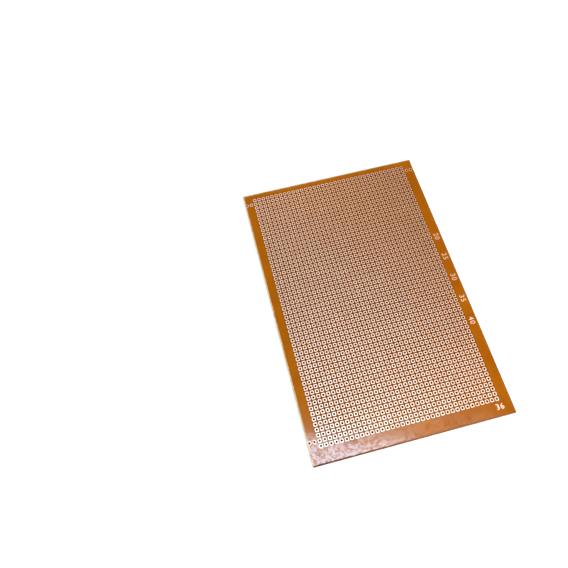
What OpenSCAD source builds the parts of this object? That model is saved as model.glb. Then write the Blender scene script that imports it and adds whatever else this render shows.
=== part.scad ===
// Prototype board: a phenolic-paper sheet drilled on a tenth-inch grid, with a square
// copper pad bonded round every hole on one side. The other side is bare.
// X runs along a row of holes, Y runs from the last row to the first, and Z points out
// of the copper side. The origin is the middle of the bare back face. Millimetres.

/* [Hole grid] */
// Holes in each row
columns = 36; // [8:1:40]
// Rows of holes
rows = 56; // [8:1:58]
// Distance between neighbouring holes, both ways
pitch = 2.54; // [2.3:0.01:3]
// Diameter of each hole, through the copper and the sheet
hole_d = 1; // [0.7:0.05:1.3]

/* [Sheet] */
// Thickness of the phenolic-paper sheet
sheet_t = 1.6; // [0.8:0.1:3.2]
// Bare strip from the first row's hole centres to the edge
top_margin = 4.3; // [2:0.1:12]
// Bare strip from the last row's hole centres to the edge
bottom_margin = 8.4; // [2:0.1:16]
// Bare edge left of the outermost copper
left_edge_gap = 0.07; // [0.02:0.01:5]
// Bare edge right of the outermost copper
right_edge_gap = 0.57; // [0.02:0.01:5]
// Radius of the sheet's four corners
corner_r = 0.4; // [0.1:0.1:2]

/* [Copper] */
// Thickness of the copper foil
copper_t = 0.035; // [0.018:0.001:0.105]
// Side of each square pad
pad_w = 1.9; // [1.5:0.05:2.15]
// Diameter of the round pads in the side margins
margin_pad_d = 1.9; // [1.5:0.05:2.15]
// Round pads beyond each marked end of a row
end_pads = 2; // [1:1:3]

/* [Hidden] */
hole_facets = 32;
corner_facets = 24;

side_reach = end_pads * pitch + margin_pad_d / 2;
left_margin = side_reach + left_edge_gap;
right_margin = side_reach + right_edge_gap;
sheet_w = left_margin + (columns - 1) * pitch + right_margin;
sheet_l = bottom_margin + (rows - 1) * pitch + top_margin;

function column_x(c) = left_margin - sheet_w / 2 + (c - 1) * pitch;
function row_y(r) = sheet_l / 2 - top_margin - (r - 1) * pitch;
function row_name(r) = str("pad_row_", r < 10 ? "0" : "", r);

// Row ends that carry round pads: the row, its outer column and the way out to the edge
marked_ends = [[2, 1, -1], [2, columns, 1], [rows - 1, 1, -1]];

// Centres of the grid's holes and of the holes in the side margins
grid_holes = [for (r = [1 : rows]) for (c = [1 : columns]) [column_x(c), row_y(r)]];
margin_holes = [
    for (e = marked_ends) for (k = [1 : end_pads])
        [column_x(e[1]) + e[2] * k * pitch, row_y(e[0])]
];

// One hole of the grid, as a flat disc
module hole_disc() {
    circle(d = hole_d, $fn = hole_facets);
}

// The sheet's outline: a rectangle whose corners are true arcs
module sheet_outline() {
    square([sheet_w - 2 * corner_r, sheet_l], center = true);
    square([sheet_w, sheet_l - 2 * corner_r], center = true);
    for (sx = [-1, 1]) for (sy = [-1, 1])
        translate([sx * (sheet_w / 2 - corner_r), sy * (sheet_l / 2 - corner_r)])
            circle(r = corner_r, $fn = corner_facets);
}

// The sheet, its back on the XY plane, with every hole drilled square through it
module base_sheet() {
    color("#b26a12")
        linear_extrude(sheet_t)
            difference() {
                sheet_outline();
                for (at = concat(grid_holes, margin_holes))
                    translate(at)
                        hole_disc();
            }
}

// Foil left by etching: a flat outline, lying on the sheet, with the hole through it
module foil_pad(at) {
    translate([at[0], at[1], sheet_t])
        linear_extrude(copper_t)
            difference() {
                children();
                hole_disc();
            }
}

// The square pads of one row
module pad_row(r) {
    color("#e0ad8c")
        for (c = [1 : columns])
            foil_pad([column_x(c), row_y(r)])
                square(pad_w, center = true);
}

// The round pads beyond the marked row ends
module margin_pads() {
    color("#e0ad8c")
        for (at = margin_holes)
            foil_pad(at)
                circle(d = margin_pad_d, $fn = hole_facets);
}

base_sheet();
for (r = [1 : rows]) pad_row(r);
margin_pads();
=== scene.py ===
"""Dresses the prototype board: drilled phenolic sheet, etched copper pads and row numerals."""
import logging
import math
from dataclasses import dataclass
from enum import Enum

import bmesh
import bpy
import numpy as np
from mathutils import Matrix, Quaternion, Vector


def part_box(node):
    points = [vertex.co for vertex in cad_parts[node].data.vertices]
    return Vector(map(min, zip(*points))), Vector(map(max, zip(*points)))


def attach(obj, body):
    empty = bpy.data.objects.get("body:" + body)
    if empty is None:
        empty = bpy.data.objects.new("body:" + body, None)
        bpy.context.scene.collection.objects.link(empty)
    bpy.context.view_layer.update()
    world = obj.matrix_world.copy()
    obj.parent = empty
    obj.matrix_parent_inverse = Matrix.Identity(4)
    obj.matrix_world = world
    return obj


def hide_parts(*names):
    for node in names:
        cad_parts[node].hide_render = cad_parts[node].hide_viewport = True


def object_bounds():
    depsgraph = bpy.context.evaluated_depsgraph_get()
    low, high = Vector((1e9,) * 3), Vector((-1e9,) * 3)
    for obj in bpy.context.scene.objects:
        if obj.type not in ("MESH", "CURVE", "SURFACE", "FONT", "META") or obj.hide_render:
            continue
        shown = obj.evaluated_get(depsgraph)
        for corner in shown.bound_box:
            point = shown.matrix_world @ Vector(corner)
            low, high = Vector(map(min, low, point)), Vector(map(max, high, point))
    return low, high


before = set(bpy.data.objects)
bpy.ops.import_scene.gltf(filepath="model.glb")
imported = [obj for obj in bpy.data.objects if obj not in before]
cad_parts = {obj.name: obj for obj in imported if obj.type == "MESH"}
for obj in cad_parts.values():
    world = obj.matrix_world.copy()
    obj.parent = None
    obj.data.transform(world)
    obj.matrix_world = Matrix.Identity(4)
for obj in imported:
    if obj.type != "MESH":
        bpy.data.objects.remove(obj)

LOG = logging.getLogger("board")
CAD_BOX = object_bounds()

MM = 0.001
PITCH = 2.54 * MM
HOLE_D = 1.0 * MM
HALF_BOARD = (Vector(CAD_BOX[1]) - Vector(CAD_BOX[0])) / 2
BODY = "root"
TONE = "pad_tone"              # face attribute: how bright a pad's foil is, from 0 to 1
RIM = "pad_rim"                # face attribute: 1 on the rolled rim of a pad's hole, where shade is painted
STEPS = 12                     # points round a hole, a pad and a cell, which has corners and thirds
SEED = 36

Triple = tuple[float, float, float]
Colour = Triple
Span = tuple[float, float]
Socket = bpy.types.NodeSocket

EVEN: Triple = (1.0, 1.0, 1.0)
WHITE: Colour = (1.0, 1.0, 1.0)
RISING: Span = (0.0, 1.0)
FALLING: Span = (1.0, 0.0)


class Axis(Enum):
    """The two ways across the board's face."""

    ACROSS = 0
    ALONG = 1


class Outline(Enum):
    """The two outlines that pads are etched to."""

    SQUARE = "square"
    ROUND = "round"


# Node materials


@dataclass(frozen=True)
class Mottle:
    """Cloudy noise, used as a patchy share or as small bumps."""

    size: float                     # width of a patch, in metres
    detail: float                   # how many finer layers lie over it
    within: Span = RISING           # the noise's values between which a share fades
    result: Span = RISING           # the shares there
    depth: float = 0.0              # height of the bumps, in metres
    stretch: Triple = EVEN          # the factor on each axis


class Finish:
    """A Principled material in the making, with short ways to add nodes and join them."""

    def __init__(self, name: str) -> None:
        """Starts an empty material.

        Args:
            name: The material's name.
        """
        self.material = bpy.data.materials.new(name)
        self.material.use_nodes = True
        self.tree = self.material.node_tree
        self.shader = self.tree.nodes["Principled BSDF"]

    def node(self, kind: str, **settings: object) -> bpy.types.Node:
        """Adds one node.

        Args:
            kind: The node's type without its "ShaderNode" prefix.
            **settings: The node's own properties.

        Returns:
            The new node.
        """
        made = self.tree.nodes.new("ShaderNode" + kind)
        for key, value in settings.items():
            setattr(made, key, value)
        return made

    def feed(self, target: Socket, source: Socket | float | Colour) -> None:
        """Joins a socket to another, or sets it to a constant.

        Args:
            target: The input that is fed.
            source: An output, a number or a colour.
        """
        if isinstance(source, Socket):
            self.tree.links.new(source, target)
        elif isinstance(source, tuple) and len(target.default_value) == len(source) + 1:
            target.default_value = (*source, 1.0)
        else:
            target.default_value = source

    def place(self, stretch: Triple = EVEN) -> Socket:
        """Gives the object's own coordinates in metres, stretched along its axes.

        Args:
            stretch: The factor on each axis.

        Returns:
            The coordinate output.
        """
        own = self.node("TexCoord").outputs["Object"]
        if stretch == EVEN:
            return own
        mapping = self.node("Mapping")
        mapping.inputs["Scale"].default_value = stretch
        self.feed(mapping.inputs["Vector"], own)
        return mapping.outputs["Vector"]

    def split(self, source: Socket) -> tuple[Socket, Socket, Socket]:
        """Takes a vector apart.

        Args:
            source: The vector.

        Returns:
            Its x, y and z.
        """
        made = self.node("SeparateXYZ")
        self.feed(made.inputs[0], source)
        return tuple(made.outputs)

    def attribute(self, name: str) -> Socket:
        """Reads a number that the mesh carries on its faces."""
        return self.node("Attribute", attribute_name=name).outputs["Fac"]

    def noise(self, pattern: Mottle) -> Socket:
        """Adds cloudy noise whose patches are about one size across.

        Args:
            pattern: The noise's size, detail and stretch.

        Returns:
            The noise's value, from 0 to 1.
        """
        made = self.node("TexNoise")
        made.inputs["Scale"].default_value = 1.0 / pattern.size
        made.inputs["Detail"].default_value = pattern.detail
        self.feed(made.inputs["Vector"], self.place(pattern.stretch))
        return made.outputs["Fac"]

    def mottle(self, pattern: Mottle) -> Socket:
        """Adds cloudy noise as a patchy share."""
        return self.fade(self.noise(pattern), pattern.within, pattern.result)

    def ripple(self, pattern: Mottle, under: Socket | None = None) -> Socket:
        """Adds cloudy noise as small bumps.

        Args:
            pattern: The noise and the bumps' height.
            under: Coarser bumps that these lie on.

        Returns:
            The bumped normal.
        """
        made = self.node("Bump")
        made.inputs["Distance"].default_value = pattern.depth
        self.feed(made.inputs["Height"], self.noise(pattern))
        if under is not None:
            self.feed(made.inputs["Normal"], under)
        return made.outputs["Normal"]

    def reckon(self, kind: str, first: Socket | float, second: Socket | float = 0.0) -> Socket:
        """Adds one step of arithmetic.

        Args:
            kind: The operation, such as MULTIPLY.
            first: Its first value.
            second: Its second value.

        Returns:
            The result.
        """
        made = self.node("Math", operation=kind)
        self.feed(made.inputs[0], first)
        self.feed(made.inputs[1], second)
        return made.outputs[0]

    def fade(self, source: Socket, within: Span, result: Span) -> Socket:
        """Maps a value from one span to another, held at both ends.

        Args:
            source: The value.
            within: The span that it moves in.
            result: What the ends of that span become.

        Returns:
            The mapped value.
        """
        made = self.node("MapRange", clamp=True)
        for socket, value in zip(made.inputs, (source, *within, *result)):
            self.feed(socket, value)
        return made.outputs[0]

    def blend(self, share: Socket, under: Socket | Colour, over: Socket | Colour) -> Socket:
        """Mixes two colours.

        Args:
            share: How much of the second colour shows.
            under: The first colour.
            over: The second colour.

        Returns:
            The mixed colour.
        """
        # The node's colour sockets are its inputs 6 and 7 and its output 2
        made = self.node("Mix", data_type="RGBA")
        self.feed(made.inputs[0], share)
        self.feed(made.inputs[6], under)
        self.feed(made.inputs[7], over)
        return made.outputs[2]

    def set(self, **values: Socket | float | Colour) -> None:
        """Feeds the shader's inputs, named with _ for a space."""
        for key, value in values.items():
            self.feed(self.shader.inputs[key.replace("_", " ")], value)


@dataclass(frozen=True)
class Phenolic:
    """Amber phenolic paper: cloudy resin over paper fibres, cut edges worn pale and partly painted
    highlight on the left and top, crushed dark and partly painted shade at the foot and right, and hole
    walls painted dark as shade.
    """

    amber: Colour = (0.405, 0.116, 0.0015)
    deep_amber: Colour = (0.342, 0.090, 0.001)
    stained: Colour = (0.135, 0.028, 0.001)
    # partly an etching stain, partly painted shade between the pads
    cut_edge: Colour = (0.80, 0.60, 0.30)
    edge_layer: Colour = (0.42, 0.21, 0.055)
    crushed: Colour = (0.11, 0.040, 0.018)
    bruised: Colour = (0.26, 0.105, 0.040)
    # painted shade: the hole walls, darkened as the shade inside the holes
    hole_wall: Colour = (0.07, 0.012, 0.003)
    clouds: Mottle = Mottle(14 * MM, 4.0, (0.35, 0.65))
    fibres: Mottle = Mottle(0.8 * MM, 5.0, (0.45, 0.75), (0.0, 0.6), stretch=(1.0, 0.5, 1.0))
    layers: Mottle = Mottle(0.18 * MM, 2.0, (0.4, 0.6), stretch=(0.02, 0.02, 1.0))
    chips: Mottle = Mottle(1.1 * MM, 4.0, (0.3, 0.7), (-0.15 * MM, 0.15 * MM))
    fraying: Mottle = Mottle(2.3 * MM, 3.0, (0.45, 0.75), (0.0, 0.6))
    smears: Mottle = Mottle(4 * MM, 3.0, (0.60, 0.70), (1.0, 0.55))
    grain: Mottle = Mottle(1.1 * MM, 2.0, (0.40, 0.56), (0.40, 1.0), depth=0.004 * MM)
    waves: Mottle = Mottle(9 * MM, 1.0, depth=0.012 * MM)
    stain_edge: Span = (-0.1 * MM, 0.5 * MM)       # where the stain and painted shade end, past the outer pads
    stain_share: Span = (0.68, 0.92)               # at the last row, and above the rise
    stain_rise: float = 35 * MM
    worn_strip: Span = (0.35 * MM, 0.70 * MM)      # along the left and top edges
    worn_share: Span = (0.95, 0.35)                # from the left side to the right, as the painted highlight is strongest on the left
    foot_strip: Span = (0.54 * MM, 0.90 * MM)      # crushed strip along the foot, partly painted shade
    flank_strip: Span = (0.27 * MM, 0.45 * MM)     # crushed strip along the right edge, partly painted shade
    crush_share: float = 0.9
    bruise_span: Span = (-0.8, 0.2)                # in half widths: crushed left of it, bruised right
    foot_depth: float = 0.2 * MM                   # walls this near the foot are its cut edge
    edge_depth: float = 0.3 * MM                   # walls this near an edge aren't hole walls
    steepness: float = 0.5                         # a wall's normal rises less than this
    rough: float = 0.8
    skin_rough: float = 0.11
    skin_ior: float = 1.66

    def material(self, half: Vector, middle: Vector, reach: Vector) -> bpy.types.Material:
        """Builds the material for a sheet that lies flat round the origin.

        Args:
            half: Half the sheet's size.
            middle: The middle of the field of pads.
            reach: Half the size of the field of pads.

        Returns:
            The material.
        """
        made = Finish("amber_phenolic")
        at = made.split(made.place())
        rise = made.split(made.node("NewGeometry").outputs["True Normal"])[2]
        upright = made.reckon("LESS_THAN", made.reckon("ABSOLUTE", rise), self.steepness)
        copper_side = made.reckon("GREATER_THAN", rise, self.steepness)

        # Cloudy resin over fibres, darker between the pads, partly an etching stain and partly painted
        # shade, less so towards the last row
        resin = made.blend(made.mottle(self.clouds), self.amber, self.deep_amber)
        resin = made.blend(made.mottle(self.fibres), resin, self.deep_amber)
        inside = [
            made.fade(
                made.reckon("ABSOLUTE", made.reckon("SUBTRACT", at[a.value], middle[a.value])),
                tuple(reach[a.value] + past for past in self.stain_edge), FALLING,
            )
            for a in Axis
        ]
        last_row = middle.y - reach.y
        stain_and_shade_amount = made.fade(at[1], (last_row, last_row + self.stain_rise), self.stain_share)
        field = made.reckon("MULTIPLY", made.reckon("MULTIPLY", *inside),
                            made.reckon("MULTIPLY", copper_side, stain_and_shade_amount))
        face = made.blend(field, resin, self.stained)

        # Distances from the four edges, and the nearest of them
        left, foot = (made.reckon("ADD", at[a.value], half[a.value]) for a in Axis)
        right, top = (made.reckon("SUBTRACT", half[a.value], at[a.value]) for a in Axis)
        nearest = made.reckon("MINIMUM", made.reckon("MINIMUM", left, right),
                              made.reckon("MINIMUM", foot, top))

        # Pale worn strips with chipped borders, partly painted highlight, and darker crushed ones,
        # partly painted shade
        chips = made.mottle(self.chips)
        worn_and_lit = made.fade(made.reckon("ADD", made.reckon("MINIMUM", left, top), chips),
                         self.worn_strip, FALLING)
        worn_and_lit = made.reckon("MULTIPLY", worn_and_lit, made.fade(at[0], (-half.x, half.x), self.worn_share))
        crush_and_shade = made.reckon(
            "MAXIMUM",
            made.fade(made.reckon("ADD", foot, chips), self.foot_strip, FALLING),
            made.fade(made.reckon("ADD", right, chips), self.flank_strip, FALLING),
        )
        frayed = made.blend(made.mottle(self.fraying), self.cut_edge, self.edge_layer)
        bruised = made.fade(at[0], tuple(share * half.x for share in self.bruise_span), RISING)
        bruise_and_shade = made.blend(bruised, self.crushed, self.bruised)
        face = made.blend(worn_and_lit, face, frayed)
        face = made.blend(made.reckon("MULTIPLY", crush_and_shade, self.crush_share), face, bruise_and_shade)

        # Cut edges that show the paper's layers, the foot's cut edge crushed and partly painted shade,
        # and hole walls painted dark as the shade inside the holes
        cut = made.blend(made.mottle(self.layers), self.cut_edge, self.edge_layer)
        cut = made.blend(made.reckon("LESS_THAN", foot, self.foot_depth), cut, bruise_and_shade)
        wall = made.blend(made.reckon("LESS_THAN", nearest, self.edge_depth), self.hole_wall, cut)

        # A clear skin of resin, smeared and grainy, which the worn places have lost
        bare = made.reckon("MAXIMUM", upright, made.reckon("MAXIMUM", worn_and_lit, crush_and_shade))
        skin = made.reckon("MULTIPLY", made.mottle(self.smears), made.mottle(self.grain))
        skin = made.reckon("MULTIPLY", skin, made.reckon("SUBTRACT", 1.0, bare))
        made.set(
            Base_Color=made.blend(upright, face, wall),
            Roughness=self.rough,
            Specular_IOR_Level=0.0,
            Coat_Weight=skin,
            Coat_Roughness=self.skin_rough,
            Coat_IOR=self.skin_ior,
            Coat_Normal=made.ripple(self.grain, made.ripple(self.waves)),
        )
        return made.material


@dataclass(frozen=True)
class EtchedCopper:
    """Bare etched copper foil under a thin lacquer, each pad a little different in tone."""

    bright: Colour = (0.92, 0.67, 0.505)
    dull: Colour = (0.89, 0.60, 0.435)
    honey: Colour = (0.93, 0.55, 0.31)
    tarnish: Colour = (0.60, 0.31, 0.18)
    burr: Colour = (0.06, 0.016, 0.009)
    spots: Mottle = Mottle(1.4 * MM, 3.0, (0.64, 0.82), (0.0, 0.4))
    scuffs: Mottle = Mottle(0.12 * MM, 4.0, (0.3, 0.7), (-0.05, 0.05), 0.003 * MM, (1.0, 0.15, 1.0))
    waves: Mottle = Mottle(3 * MM, 1.0, depth=0.02 * MM)
    honey_share: float = 0.6
    rough: Span = (0.56, 0.52)                     # of the dullest and of the brightest pad
    lacquer: float = 0.65
    lacquer_rough: float = 0.30

    def material(self, half: Vector) -> bpy.types.Material:
        """Builds the material.

        The foil is painted warmer from the middle of the board to its upper right corner, as a painted
        warm reflection, with the sum of x and y, each counted in half the board's size.

        Args:
            half: Half the board's size.

        Returns:
            The material, which reads each pad's tone and rim from face attributes, and paints the rim
            near black as shade.
        """
        made = Finish("etched_copper")
        tone, rim = made.attribute(TONE), made.attribute(RIM)
        at = made.split(made.place())
        slant = made.reckon("ADD", *(made.reckon("DIVIDE", at[a.value], half[a.value]) for a in Axis))
        foil = made.blend(tone, self.dull, self.bright)
        # Painted warm reflection, growing towards the upper right
        foil = made.blend(made.fade(slant, RISING, (0.0, self.honey_share)), foil, self.honey)
        foil = made.blend(made.mottle(self.spots), foil, self.tarnish)
        made.set(
            # Painted shade: the rolled rim of each hole is near black
            Base_Color=made.blend(rim, foil, self.burr),
            Metallic=1.0,
            Roughness=made.reckon("ADD", made.mottle(self.scuffs), made.fade(tone, RISING, self.rough)),
            Normal=made.ripple(self.scuffs, made.ripple(self.waves)),
            Coat_Weight=made.fade(rim, RISING, (self.lacquer, 0.0)),
            Coat_Roughness=self.lacquer_rough,
        )
        return made.material


@dataclass(frozen=True)
class PaleFloor:
    """A matt white table top that keeps the board's shadow, with painted shade under the board that
    shows through its holes.
    """

    paint: Colour = (0.86, 0.86, 0.86)
    # painted shade: the colour of the table under the board
    under: Colour = (0.018, 0.004, 0.002)
    rough: float = 0.8
    shine: float = 0.1
    glow: Span = (0.18, 0.80)                      # near the board, and far from it
    distance: Span = (0.14, 0.80)                  # from the board's middle, where the glow grows
    tuck: float = 0.5 * MM                         # how far inside the board's edge the painted shade stops

    def material(self, half: Vector) -> bpy.types.Material:
        """Builds the material.

        Args:
            half: Half the board's size.

        Returns:
            The material, lifted to white for the camera and for reflections alone.
        """
        made = Finish("pale_table")
        place = made.place()
        at = made.split(place)
        outside = made.reckon("MAXIMUM", *(
            made.reckon("GREATER_THAN", made.reckon("ABSOLUTE", at[a.value]), half[a.value] - self.tuck)
            for a in Axis
        ))
        path = made.node("LightPath").outputs
        seen = made.reckon("MAXIMUM", path["Is Camera Ray"], path["Is Glossy Ray"])
        seen = made.reckon("MAXIMUM", seen, path["Is Transmission Ray"])
        away = made.node("VectorMath", operation="LENGTH")
        made.feed(away.inputs[0], place)
        glow = made.fade(away.outputs["Value"], self.distance, self.glow)
        made.set(
            # Painted shade inside the board's outline, white paint outside it
            Base_Color=made.blend(outside, self.under, self.paint),
            Roughness=self.rough,
            Specular_IOR_Level=self.shine,
            Emission_Color=WHITE,
            Emission_Strength=made.reckon("MULTIPLY", made.reckon("MULTIPLY", seen, outside), glow),
        )
        return made.material


# Meshes


def new_piece(name: str, points: np.ndarray, faces: list[list[int]],
              material: bpy.types.Material) -> bpy.types.Object:
    """Makes one piece whose place is in its mesh.

    Args:
        name: The piece's name.
        points: Its vertices, in metres.
        faces: Its faces, as lists of vertex numbers.
        material: Its finish.

    Returns:
        The piece, riding on the board.
    """
    mesh = bpy.data.meshes.new(name)
    mesh.from_pydata(points.tolist(), [], faces)
    mesh.materials.append(material)
    piece = bpy.data.objects.new(name, mesh)
    bpy.context.scene.collection.objects.link(piece)
    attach(piece, BODY)
    LOG.info("%s: %d faces", name, len(mesh.polygons))
    return piece


def mark_faces(piece: bpy.types.Object, name: str, values: np.ndarray) -> None:
    """Writes one number on each face, for the material to read.

    Args:
        piece: The piece.
        name: The attribute's name.
        values: A number for each face.
    """
    attribute = piece.data.attributes.new(name, "FLOAT", "FACE")
    attribute.data.foreach_set("value", values)


def read_points(mesh: bpy.types.Mesh) -> np.ndarray:
    """Reads a mesh's vertices.

    Args:
        mesh: The mesh.

    Returns:
        An array with a row of x, y and z for each vertex.
    """
    at = np.empty(len(mesh.vertices) * 3, np.float32)
    mesh.vertices.foreach_get("co", at)
    return at.reshape(-1, 3)


def step_angles() -> np.ndarray:
    """Angles of STEPS points round a hole, half a step off the axes."""
    return (np.arange(STEPS) + 0.5) * 2 * np.pi / STEPS


def hole_points(radius: float) -> np.ndarray:
    """Points round a hole: cosine and sine at even steps.

    They lie a little outside the circle, by the root of step / sin(step), so that the
    ring of chords has the circle's area.

    Args:
        radius: The hole's radius.

    Returns:
        An array of STEPS rows.
    """
    step, angle = 2 * math.pi / STEPS, step_angles()
    return radius * math.sqrt(step / math.sin(step)) * np.stack([np.cos(angle), np.sin(angle)], 1)


def cell_points() -> np.ndarray:
    """Points round a square from -1 to 1: its corners and the thirds of its sides.

    The direction of each hole point is pushed out to the square, by dividing it by its
    larger coordinate, and moved to the nearest third.

    Returns:
        An array of STEPS rows, in step with hole_points.
    """
    way = hole_points(1.0)
    square = way / np.abs(way).max(1, keepdims=True)
    third = 2 / 3
    return np.round((square + 1) / third) * third - 1


def ring_faces(first: np.ndarray, rings: int, closed: bool) -> np.ndarray:
    """Quads between rings of STEPS points, which follow each other inwards over the top.

    Args:
        first: Each shape's first vertex number.
        rings: How many rings a shape has.
        closed: True where the last ring meets the first again.

    Returns:
        An array of quads.
    """
    ring = np.arange(rings if closed else rings - 1)[:, None]
    step = np.arange(STEPS)[None, :]
    here, after = ring * STEPS, (ring + 1) % rings * STEPS
    turn = (step + 1) % STEPS
    quad = np.stack([here + step, here + turn, after + turn, after + step], -1)
    return (first[:, None, None, None] + quad).reshape(-1, 4)


def at_height(flat: np.ndarray, height: np.ndarray | float) -> np.ndarray:
    """Adds a height to an array of x and y.

    Args:
        flat: The array, with x and y on its last axis.
        height: One height, or an array that spreads over the others.

    Returns:
        The array with x, y and z on its last axis.
    """
    return np.concatenate([flat, np.broadcast_to(height, flat.shape[:-1] + (1,))], -1)


@dataclass
class Grid:
    """The lattice of holes, read from the frame."""

    rows: tuple[str, ...]
    pad_w: float
    columns: np.ndarray
    row_y: np.ndarray
    face_z: float
    foil_t: float

    @classmethod
    def from_frame(cls) -> "Grid":
        """Reads the lattice from the nodes of the pad rows.

        Returns:
            The lattice, with its rows from the top of the board down.
        """
        rows = tuple(sorted(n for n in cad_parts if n.startswith("pad_row_")))
        boxes = [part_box(n) for n in rows]
        low, high = boxes[0]
        pad_w = high.y - low.y
        count = round((high.x - low.x - pad_w) / PITCH) + 1
        columns = low.x + pad_w / 2 + PITCH * np.arange(count)
        row_y = np.array([(b[0].y + b[1].y) / 2 for b in boxes])
        return cls(rows, pad_w, columns, row_y, low.z, high.z - low.z)

    def middle(self) -> Vector:
        """Gives the middle of the field of pads."""
        return Vector((self.columns.mean(), self.row_y.mean(), self.face_z))

    def reach(self) -> Vector:
        """Gives half the size of the field, to the outer edges of its pads."""
        across, along = np.ptp(self.columns), np.ptp(self.row_y)
        return Vector(((across + self.pad_w) / 2, (along + self.pad_w) / 2, 0.0))

    def holes(self) -> np.ndarray:
        """Gives the centres of the grid's holes, as rows of x and y."""
        return np.stack(np.meshgrid(self.columns, self.row_y), -1).reshape(-1, 2)


@dataclass
class MarginEnds:
    """The row ends that carry round pads, read from the frame."""

    node: str = "margin_pads"
    pad_d: float = 1.9 * MM
    per_end: int = 2

    def centres(self) -> np.ndarray:
        """Centres of the round pads, beyond both ends of one row and one end of another.

        Returns:
            An array of x and y.
        """
        low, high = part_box(self.node)
        out = np.arange(self.per_end) * PITCH
        left = low.x + self.pad_d / 2 + out
        right = high.x - self.pad_d / 2 - out
        upper, lower = high.y - self.pad_d / 2, low.y + self.pad_d / 2
        ends = ((left, upper), (right, upper), (left, lower))
        return np.concatenate([np.stack([x, np.full(x.shape, y)], 1) for x, y in ends])


@dataclass
class DrilledSheet:
    """The phenolic sheet: a plate of cells, most of them with a hole drilled through."""

    grid: Grid
    ends: MarginEnds
    finish: Phenolic
    node: str = "base_sheet"
    name: str = "drilled_sheet"
    corner_r: float = 0.4 * MM
    corner_steps: int = 4
    corner_near: float = 0.01 * MM         # a corner edge lies this near the sheet's corner
    weld_digits: int = 9                   # points that agree to this many digits are one

    def lines(self) -> tuple[np.ndarray, np.ndarray]:
        """Lines between the cells: half way between holes, and the sheet's own edges.

        Returns:
            The x lines and the y lines, both rising.
        """
        low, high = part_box(self.node)
        columns, along = self.grid.columns, self.grid.row_y[::-1]
        extra = np.arange(1, self.ends.per_end + 1) * PITCH
        across = np.concatenate([columns[0] - extra[::-1], columns, columns[-1] + extra[:-1]])
        x = np.concatenate([[low.x], across + PITCH / 2, [high.x]])
        y = np.concatenate([[low.y, along[0] - PITCH / 2], along + PITCH / 2, [high.y]])
        return x, y

    def build(self) -> bpy.types.Object:
        """Builds and dresses the sheet.

        Each cell is a square ring of points round a ring of hole points, carried down
        through the sheet. A cell without a hole is one flat face on each side.

        Returns:
            The piece that stands for the sheet.
        """
        low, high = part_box(self.node)
        x, y = self.lines()
        share = (cell_points() + 1) / 2
        spread = np.stack(np.broadcast_arrays(
            (x[:-1, None] + np.diff(x)[:, None] * share[:, 0])[None, :, :],
            (y[:-1, None] + np.diff(y)[:, None] * share[:, 1])[:, None, :],
        ), -1)
        count = spread.shape[0] * spread.shape[1]
        cells = spread.reshape(count, STEPS, 2)

        holes = np.concatenate([self.grid.holes(), self.ends.centres()])
        column = np.searchsorted(x, holes[:, 0]) - 1
        row = np.searchsorted(y, holes[:, 1]) - 1
        drilled = row * (len(x) - 1) + column
        plain = np.setdiff1d(np.arange(count), drilled)
        rims = holes[:, None, :] + hole_points(HOLE_D / 2)

        height = np.array([high.z, high.z, low.z, low.z])
        chain = np.stack([cells[drilled], rims, rims, cells[drilled]], 1)
        chain = at_height(chain, height[None, :, None, None])
        levels = (chain, at_height(cells, high.z), at_height(cells, low.z))
        points = np.concatenate([level.reshape(-1, 3) for level in levels])

        rings, around = len(height), np.arange(STEPS)
        base_top = len(drilled) * rings * STEPS
        base_bottom = base_top + count * STEPS
        bored = ring_faces(np.arange(len(drilled)) * rings * STEPS, rings, False)
        lids = base_top + plain[:, None] * STEPS + around
        floors = base_bottom + plain[:, None] * STEPS + around[::-1]
        walls = self.walls(spread.shape[:2], base_top, base_bottom)

        points, same = np.unique(np.round(points, self.weld_digits), axis=0, return_inverse=True)
        same = same.reshape(-1)
        faces = [f for part in (bored, lids, floors, walls) for f in same[part].tolist()]
        dress = self.finish.material(HALF_BOARD, self.grid.middle(), self.grid.reach())
        piece = new_piece(self.name, points, faces, dress)
        self.round_corners(piece, low, high)
        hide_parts(self.node)
        return piece

    def walls(self, shape: tuple[int, int], base_top: int, base_bottom: int) -> np.ndarray:
        """Quads of the sheet's cut edges, one for each third of an outer cell's side.

        Args:
            shape: How many rows and columns of cells there are.
            base_top: The first vertex number of the cells' upper points.
            base_bottom: The first vertex number of their lower points.

        Returns:
            An array of quads.
        """
        number = np.arange(shape[0] * shape[1]).reshape(shape)
        point = cell_points()
        sides = (
            (number[:, -1], Axis.ACROSS, 1),
            (number[-1], Axis.ALONG, 1),
            (number[:, 0], Axis.ACROSS, -1),
            (number[0], Axis.ALONG, -1),
        )
        quads = []
        for cells, axis, side in sides:
            on_side = np.isclose(point[:, axis.value], side)
            start = np.flatnonzero(on_side & np.roll(on_side, -1))
            after = (start + 1) % STEPS
            foot = base_bottom + cells[:, None] * STEPS
            crown = base_top + cells[:, None] * STEPS
            wall = np.stack([foot + start, foot + after, crown + after, crown + start], -1)
            quads.append(wall.reshape(-1, 4))
        return np.concatenate(quads)

    def round_corners(self, piece: bpy.types.Object, low: Vector, high: Vector) -> None:
        """Rounds the four upright corner edges.

        Args:
            piece: The sheet.
            low: Its lowest corner.
            high: Its highest corner.
        """
        mesh = piece.data
        ends = np.empty(len(mesh.edges) * 2, np.int32)
        mesh.edges.foreach_get("vertices", ends)
        first, second = read_points(mesh)[ends.reshape(-1, 2).T]
        upright = np.abs(first[:, 2] - second[:, 2]) > (high.z - low.z) / 2
        middle, half = np.array((low + high) / 2), np.array((high - low) / 2)
        corner = (np.abs(first - middle)[:, :2] > half[:2] - self.corner_near).all(1)
        weight = mesh.attributes.new("bevel_weight_edge", "FLOAT", "EDGE")
        weight.data.foreach_set("value", (upright & corner).astype(np.float32))
        bevel = piece.modifiers.new("corners", "BEVEL")
        bevel.limit_method = "WEIGHT"
        bevel.width = self.corner_r
        bevel.segments = self.corner_steps


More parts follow.
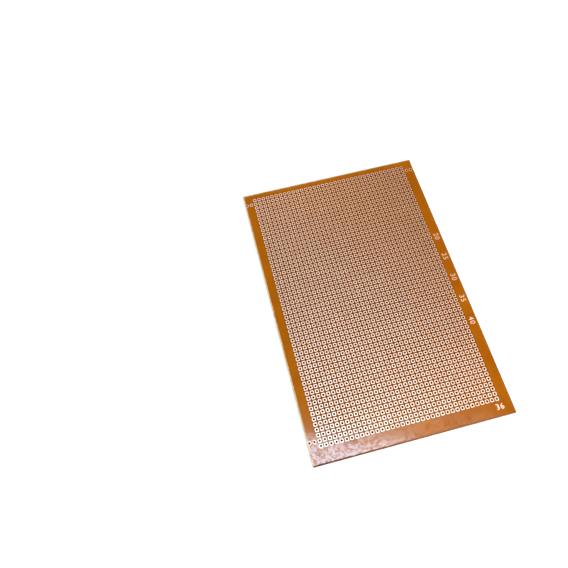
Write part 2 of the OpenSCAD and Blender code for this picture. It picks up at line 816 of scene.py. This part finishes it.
@dataclass
class EtchedPads:
    """Copper pads: closed rings of foil with an etched shoulder, one round each hole."""

    grid: Grid
    material: bpy.types.Material
    shoulder: float = 0.045 * MM
    slope: float = 0.012 * MM
    hole_roll: float = 0.07 * MM
    squareness: float = 6.0
    corner_turn: float = math.radians(13.5)
    angle_digits: int = 6                                     # angles that agree to these are one
    rise: tuple[float, ...] = (0.0, 0.75, 1.0, 1.0, 0.0)      # each ring's height, in foil thicknesses
    rim: tuple[float, ...] = (0.0, 0.0, 0.0, 1.0, 0.0)        # 1 where a ring starts the hole's rim
    tone_spread: float = 2.0

    def outline(self, kind: Outline, width: float) -> np.ndarray:
        """Points round a pad, in step with hole_points.

        A square pad is the superellipse |x|^n + |y|^n = 1, whose points are drawn towards
        its corners so that the sides stay straight. A round pad is a circle.

        Args:
            kind: The outline.
            width: The pad's width.

        Returns:
            An array of STEPS rows.
        """
        if kind is Outline.ROUND:
            return hole_points(width / 2)
        angle, quarter = step_angles(), np.pi / 2
        corner = (np.floor(angle / quarter) + 0.5) * quarter
        angle = corner + np.sign(np.round(angle - corner, self.angle_digits)) * self.corner_turn
        way = np.stack([np.cos(angle), np.sin(angle)], 1)
        reach = (np.abs(way) ** self.squareness).sum(1, keepdims=True) ** (-1 / self.squareness)
        edge = reach * way
        return width / 2 * edge / np.abs(edge).max()

    def build(self, name: str, node: str, centres: np.ndarray, kind: Outline, width: float,
              rng: np.random.Generator) -> bpy.types.Object:
        """Builds a group of pads as one piece.

        Five rings make each pad: foot, slope and crown of the etched outline, then the
        rolled rim and the foot of the hole, which meets the first foot underneath.

        Args:
            name: The piece's name.
            node: The node that it stands for.
            centres: The pads' centres.
            kind: The pads' outline.
            width: The pads' width.
            rng: The source of each pad's tone.

        Returns:
            The piece.
        """
        edge, half = self.outline(kind, width), width / 2
        rings = np.stack([
            edge,
            edge * (1 - self.slope / half),
            edge * (1 - self.shoulder / half),
            hole_points(HOLE_D / 2 + self.hole_roll),
            hole_points(HOLE_D / 2),
        ])
        height = np.array(self.rise) * self.grid.foil_t + self.grid.face_z
        points = at_height(centres[:, None, None, :] + rings, height[None, :, None, None])
        faces = ring_faces(np.arange(len(centres)) * len(rings) * STEPS, len(rings), True)
        piece = new_piece(name, points.reshape(-1, 3), faces.tolist(), self.material)
        tones = rng.beta(self.tone_spread, self.tone_spread, len(centres))
        mark_faces(piece, TONE, np.repeat(tones, len(rings) * STEPS))
        mark_faces(piece, RIM, np.tile(np.repeat(self.rim, STEPS), len(centres)))
        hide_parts(node)
        return piece


@dataclass
class Numerals:
    """Plain row and column numbers, etched in the foil of the bare margins."""

    grid: Grid
    material: bpy.types.Material
    name: str = "margin_numerals"
    figure_h: float = 2.7 * MM
    cap_share: float = 0.7                 # a figure's height, as a share of its font's size
    spacing: float = 1.15
    bold: float = 0.016                    # how far strokes are thickened, in figure heights
    curve_steps: int = 3
    row_step: int = 5
    first_row: int = 20
    last_row: int = 40
    side_offset: float = 3.7 * MM
    foot_offset: float = 3.9 * MM
    sliver: float = 0.002 * MM
    tone: float = 0.6

    def figure(self, words: str, at: tuple[float, float], turn: float) -> bpy.types.Mesh:
        """Makes one number as a thin mesh.

        Args:
            words: The number.
            at: The middle of the number, on the board's face.
            turn: Its turn about the board's normal.

        Returns:
            The mesh, in its place.
        """
        curve = bpy.data.curves.new(words, "FONT")
        curve.body = words
        curve.align_x, curve.align_y = "CENTER", "CENTER"
        curve.size = self.figure_h / self.cap_share
        curve.offset = self.bold * self.figure_h
        curve.space_character = self.spacing
        curve.resolution_u = self.curve_steps
        curve.extrude = self.grid.foil_t / 2
        stand = bpy.data.objects.new(words, curve)
        bpy.context.scene.collection.objects.link(stand)
        bpy.context.view_layer.update()
        solid = stand.evaluated_get(bpy.context.evaluated_depsgraph_get())
        mesh = bpy.data.meshes.new_from_object(solid)
        bpy.data.objects.remove(stand)
        bpy.data.curves.remove(curve)
        place = Vector((*at, self.grid.face_z + self.grid.foil_t / 2))
        mesh.transform(Matrix.Translation(place) @ Matrix.Rotation(turn, 4, "Z"))
        return mesh

    def clean(self, mesh: bpy.types.Mesh) -> None:
        """Joins doubled points, drops slivers and turns every face outwards.

        Args:
            mesh: The numbers' mesh.
        """
        work = bmesh.new()
        work.from_mesh(mesh)
        bmesh.ops.remove_doubles(work, verts=work.verts, dist=self.sliver)
        bmesh.ops.dissolve_degenerate(work, edges=work.edges, dist=self.sliver)
        bmesh.ops.recalc_face_normals(work, faces=work.faces)
        work.to_mesh(mesh)
        work.free()

    def build(self) -> bpy.types.Object:
        """Builds every number as one piece.

        Returns:
            The piece.
        """
        columns, row_y = self.grid.columns, self.grid.row_y
        side, foot = columns[-1] + self.side_offset, row_y[-1] - self.foot_offset
        rows = range(self.first_row, self.last_row + 1, self.row_step)
        figures = [self.figure(str(r), (side, row_y[r - 1]), -math.pi / 2) for r in rows]
        figures.append(self.figure(str(len(columns)), (columns[-1], foot), 0.0))
        points, faces, start = [], [], 0
        for mesh in figures:
            points.append(read_points(mesh))
            faces += [(np.array(face.vertices) + start).tolist() for face in mesh.polygons]
            start += len(mesh.vertices)
            bpy.data.meshes.remove(mesh)
        piece = new_piece(self.name, np.concatenate(points), faces, self.material)
        self.clean(piece.data)
        mark_faces(piece, TONE, np.full(len(piece.data.polygons), self.tone))
        return piece


# Studio


def stand_facing(thing: bpy.types.Object, at: Triple, aim: Triple, roll: float = 0.0) -> None:
    """Puts a lamp or a camera in its place and turns it to its aim.

    Args:
        thing: The lamp or camera, which looks down its own -Z.
        at: Its place.
        aim: The point that it looks at.
        roll: Its turn about the line to that point.
    """
    look = (Vector(aim) - Vector(at)).to_track_quat("-Z", "Y")
    thing.location = at
    thing.rotation_mode = "QUATERNION"
    thing.rotation_quaternion = look @ Quaternion((0.0, 0.0, 1.0), roll)
    bpy.context.scene.collection.objects.link(thing)


@dataclass(frozen=True)
class SoftLamp:
    """An oblong soft lamp."""

    name: str
    at: Triple
    aim: Triple
    width: float
    depth: float
    watts: float
    tint: Colour

    def make(self) -> None:
        """Hangs the lamp and turns it to its aim."""
        light = bpy.data.lights.new(self.name, "AREA")
        light.shape = "RECTANGLE"
        light.size, light.size_y = self.width, self.depth
        light.energy = self.watts
        light.color = self.tint
        stand_facing(bpy.data.objects.new(self.name, light), self.at, self.aim)


@dataclass(frozen=True)
class Studio:
    """The table, the light and the camera, none of them part of the board."""

    table_w: float = 4.0
    camera_at: Triple = (-0.06401, -0.08537, 0.25142)
    camera_aim: Triple = (-0.04123, 0.01706, 0.00164)
    camera_roll: float = math.radians(-1.87)
    lens_mm: float = 32.01
    near_clip: float = 0.01
    sky_rise: Span = (0.34, 0.46)          # sine of the height between which the sky dims
    sky_light: Span = (1.0, 0.03)          # at the horizon, and overhead
    lamps: tuple[SoftLamp, ...] = (
        SoftLamp("window", at=(-0.040, -0.165, 0.90), aim=(0.0, -0.020, 0.0),
                 width=0.46, depth=0.38, watts=5.6, tint=(0.79, 1.06, 1.33)),
        SoftLamp("window_end", at=(0.24, -0.170, 0.90), aim=(0.28, -0.025, 0.0),
                 width=0.30, depth=0.38, watts=0.75, tint=(1.20, 0.95, 0.72)),
        SoftLamp("side", at=(0.30, -0.22, 0.30), aim=(0.05, -0.07, 0.0),
                 width=0.20, depth=0.20, watts=0.9, tint=(1.25, 0.90, 0.60)),
        SoftLamp("far_wall", at=(0.05, 0.75, 0.62), aim=(0.0, 0.0, 0.0),
                 width=0.40, depth=0.40, watts=2.2, tint=(1.05, 0.76, 0.46)),
    )

    def build(self) -> None:
        """Sets up everything round the board."""
        self.make_table()
        self.make_sky()
        for lamp in self.lamps:
            lamp.make()
        self.make_camera()
        bpy.context.scene.view_settings.view_transform = "Standard"

    def make_table(self) -> None:
        """Lays the table top under the board."""
        half = self.table_w / 2
        mesh = bpy.data.meshes.new("table")
        corners = [(-half, -half, 0.0), (half, -half, 0.0), (half, half, 0.0), (-half, half, 0.0)]
        mesh.from_pydata(corners, [], [(0, 1, 2, 3)])
        mesh.materials.append(PaleFloor().material(HALF_BOARD))
        table = bpy.data.objects.new("table", mesh)
        bpy.context.scene.collection.objects.link(table)

    def make_sky(self) -> None:
        """Lights the room softly from all round, brightest at the horizon and dim overhead."""
        world = bpy.data.worlds.new("room")
        world.use_nodes = True
        bpy.context.scene.world = world
        nodes, links = world.node_tree.nodes, world.node_tree.links
        split = nodes.new("ShaderNodeSeparateXYZ")
        fade = nodes.new("ShaderNodeMapRange")
        for socket, value in zip(fade.inputs[1:5], (*self.sky_rise, *self.sky_light)):
            socket.default_value = value
        links.new(nodes.new("ShaderNodeTexCoord").outputs["Generated"], split.inputs[0])
        links.new(split.outputs[2], fade.inputs[0])
        links.new(fade.outputs[0], nodes["Background"].inputs["Strength"])
        nodes["Background"].inputs["Color"].default_value = (*WHITE, 1.0)

    def make_camera(self) -> None:
        """Sets the camera where the photograph was taken from."""
        data = bpy.data.cameras.new("camera")
        data.lens = self.lens_mm
        data.clip_start = self.near_clip
        camera = bpy.data.objects.new("camera", data)
        stand_facing(camera, self.camera_at, self.camera_aim, self.camera_roll)
        bpy.context.scene.camera = camera


def main() -> None:
    """Builds the board's pieces in order, then the studio."""
    logging.basicConfig(level=logging.INFO, format="%(name)s %(message)s")
    rng = np.random.default_rng(SEED)
    grid, ends = Grid.from_frame(), MarginEnds()
    copper = EtchedCopper().material(HALF_BOARD)
    DrilledSheet(grid, ends, Phenolic()).build()
    pads = EtchedPads(grid, copper)
    for node, y in zip(grid.rows, grid.row_y):
        centres = np.stack([grid.columns, np.full(grid.columns.shape, y)], 1)
        pads.build("etched_" + node, node, centres, Outline.SQUARE, grid.pad_w, rng)
    pads.build("etched_margin_pads", ends.node, ends.centres(), Outline.ROUND, ends.pad_d, rng)
    Numerals(grid, copper).build()
    Studio().build()


if __name__ == "__main__":
    main()
